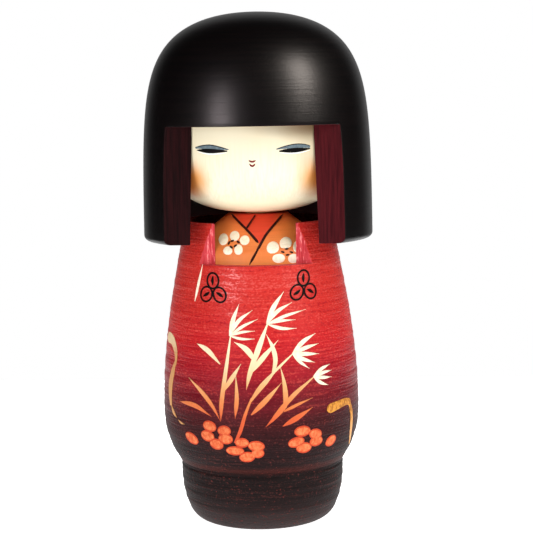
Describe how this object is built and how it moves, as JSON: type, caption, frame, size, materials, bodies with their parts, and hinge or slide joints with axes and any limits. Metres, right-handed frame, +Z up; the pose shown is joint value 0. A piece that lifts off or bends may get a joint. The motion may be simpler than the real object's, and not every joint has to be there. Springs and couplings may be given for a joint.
{
  "type": "kokeshi doll",
  "caption": "Turned wooden doll with bobbed hair, a pale face set in a sawn notch, a collar plug and a painted kimono body; the head turns on a hidden dowel.",
  "frame": {"origin": "centre of the flat resting face under the foot", "axes": "+Z up along the turning axis; the face and the kimono's front look along -Y; +X is the doll's own left, on the right as one looks at its face"},
  "size_m": [0.07, 0.0691, 0.155],
  "materials": {
    "kimono_lacquer": "satin lacquer over turned wood, red fading to near black at the foot",
    "collar_paint": "satin orange paint on turned wood",
    "bare_wood": "bare sanded hardwood",
    "face_wood": "waxed pale wood with soft orange cheeks",
    "hair_lacquer": "satin black-brown lacquer, dark red stain on the sawn flats",
    "motif_paint": "thin opaque brush paint, from cream to orange",
    "gold_paint": "satin gold brush paint",
    "ink": "thin black brush line"
  },
  "bodies": {
    "body": {"kimono_body": "kimono_lacquer", "collar_plug": "collar_paint", "neck_dowel": "bare_wood"},
    "head": {"face_block": "face_wood", "hair_cap": "hair_lacquer"}
  },
  "joints": [
    {"name": "head_turn", "type": "hinge", "parent": "body", "child": "head", "pos_m": [0, 0, 0.0947], "axis": [0, 0, 1], "continuous": true}
  ]
}
